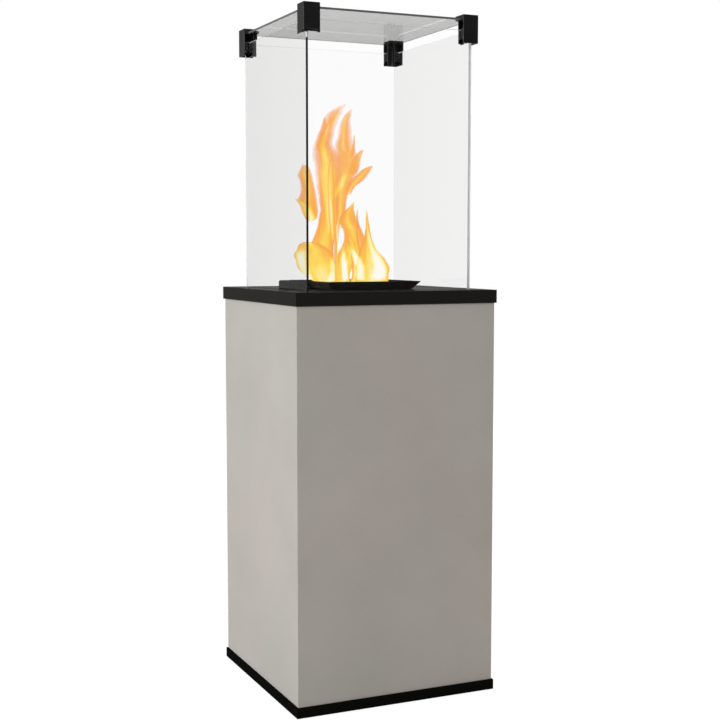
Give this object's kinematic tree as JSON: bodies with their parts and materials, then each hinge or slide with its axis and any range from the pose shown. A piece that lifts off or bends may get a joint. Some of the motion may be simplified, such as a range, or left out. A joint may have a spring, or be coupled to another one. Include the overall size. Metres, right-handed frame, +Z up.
{
  "type": "gas patio heater",
  "caption": "Free-standing gas patio heater: square column clad in grey concrete-look panels, black top plate and base, clear glass flame chamber with black corner clips, gas bottle inside.",
  "frame": {"origin": "on the floor, under the centre of the square column, level with the undersides of the feet", "axes": "+Z up, -Y the plain front face, +Y the service door at the back, +X the right-hand side seen from the front"},
  "size_m": [0.42, 0.42, 1.325],
  "materials": {
    "black_plate": "satin black powder coat with a faint sheen",
    "black_frame": "matt black powder coat",
    "clip_black": "satin black powder coat",
    "cladding": "smooth warm grey concrete-look cladding with soft mottling",
    "glass": "clear tempered glass with polished edges",
    "silicone": "black silicone",
    "rubber_black": "matt black rubber",
    "zinc_steel": "zinc-plated steel",
    "stainless": "heat-tinted stainless steel",
    "tray_black": "heat-resistant matt black paint",
    "brass": "plain brass",
    "copper": "bright copper",
    "cast_alloy": "die-cast aluminium",
    "tube_alloy": "drawn aluminium tube",
    "ceramic_white": "white ceramic",
    "lead_sleeve": "red silicone sleeve",
    "hose_orange": "orange rubber gas hose",
    "bottle_paint": "grey-blue gloss paint on steel",
    "wheel_blue": "blue moulded plastic",
    "nylon": "natural nylon",
    "knob_black": "black moulded plastic",
    "button_red": "red moulded plastic"
  },
  "bodies": {
    "column": {"base_tray": "black_plate", "rubber_feet": "rubber_black", "post_front_left": "black_frame", "post_front_right": "black_frame", "post_rear_left": "black_frame", "post_rear_right": "black_frame", "top_frame": "black_frame", "front_panel": "cladding", "left_panel": "cladding", "right_panel": "cladding", "frame_screws": "zinc_steel", "top_plate": "black_plate", "glass_channel": "black_frame", "pane_seals": "silicone", "burner_deck": "black_plate", "pane_front": "glass", "pane_rear": "glass", "pane_left": "glass", "pane_right": "glass", "burner_pan": "stainless", "burner_tray": "tray_black", "burner_head": "stainless", "venturi": "zinc_steel", "injector": "brass", "supply_pipe": "tube_alloy", "pilot_cover": "tray_black", "pilot_burner": "stainless", "pilot_tube": "tube_alloy", "thermocouple": "copper", "ignition_electrode": "ceramic_white", "ignition_lead": "lead_sleeve", "gas_valve": "cast_alloy", "piezo_igniter": "knob_black", "control_fascia": "black_plate", "cover_screws": "zinc_steel", "heat_shield": "zinc_steel", "hose_grommet": "rubber_black", "hose_clip": "zinc_steel", "gas_hose": "hose_orange", "bottle_stop": "black_frame", "gas_bottle": "bottle_paint", "bottle_valve": "brass", "regulator": "cast_alloy", "hinge_bushes": "nylon", "door_seal": "rubber_black"},
    "door": {"rear_door": "black_plate", "hinge_pins": "zinc_steel", "lock_housing": "zinc_steel"},
    "lock": {"door_lock": "zinc_steel"},
    "spindle": {"valve_spindle": "brass"},
    "knob": {"control_knob": "knob_black"},
    "igniter": {"igniter_button": "button_red"},
    "bottle_wheel": {"handwheel": "wheel_blue"},
    "glass_top": {"glass_lid": "glass", "clip_front_left": "clip_black", "clip_front_right": "clip_black", "clip_rear_left": "clip_black", "clip_rear_right": "clip_black", "clip_liners": "silicone"}
  },
  "joints": [
    {"name": "door_hinge", "type": "hinge", "parent": "column", "child": "door", "pos_m": [0.1885, 0.1975, 0.355], "axis": [0, 0, -1], "range_deg": [0, 100]},
    {"name": "lock_turn", "type": "hinge", "parent": "door", "child": "lock", "pos_m": [-0.158, 0.205, 0.35525], "axis": [0, -1, 0], "range_deg": [0, 90]},
    {"name": "spindle_turn", "type": "hinge", "parent": "column", "child": "spindle", "pos_m": [0.06, 0.19, 0.73], "axis": [0, 1, 0], "range_deg": [0, 180]},
    {"name": "knob_push", "type": "slide", "parent": "spindle", "child": "knob", "axis": [0, -1, 0], "range_m": [0, 0.004], "stiffness_N_per_m": 1200, "springref_m": -0.002},
    {"name": "igniter_press", "type": "slide", "parent": "column", "child": "igniter", "axis": [0, -1, 0], "range_m": [0, 0.004], "stiffness_N_per_m": 1500, "springref_m": -0.003},
    {"name": "handwheel_turn", "type": "hinge", "parent": "column", "child": "bottle_wheel", "pos_m": [0, -0.01, 0.6], "axis": [0, 0, 1], "range_deg": [0, 720]},
    {"name": "glass_top_lift", "type": "slide", "parent": "column", "child": "glass_top", "axis": [0, 0, 1], "range_m": [0, 0.08]}
  ]
}
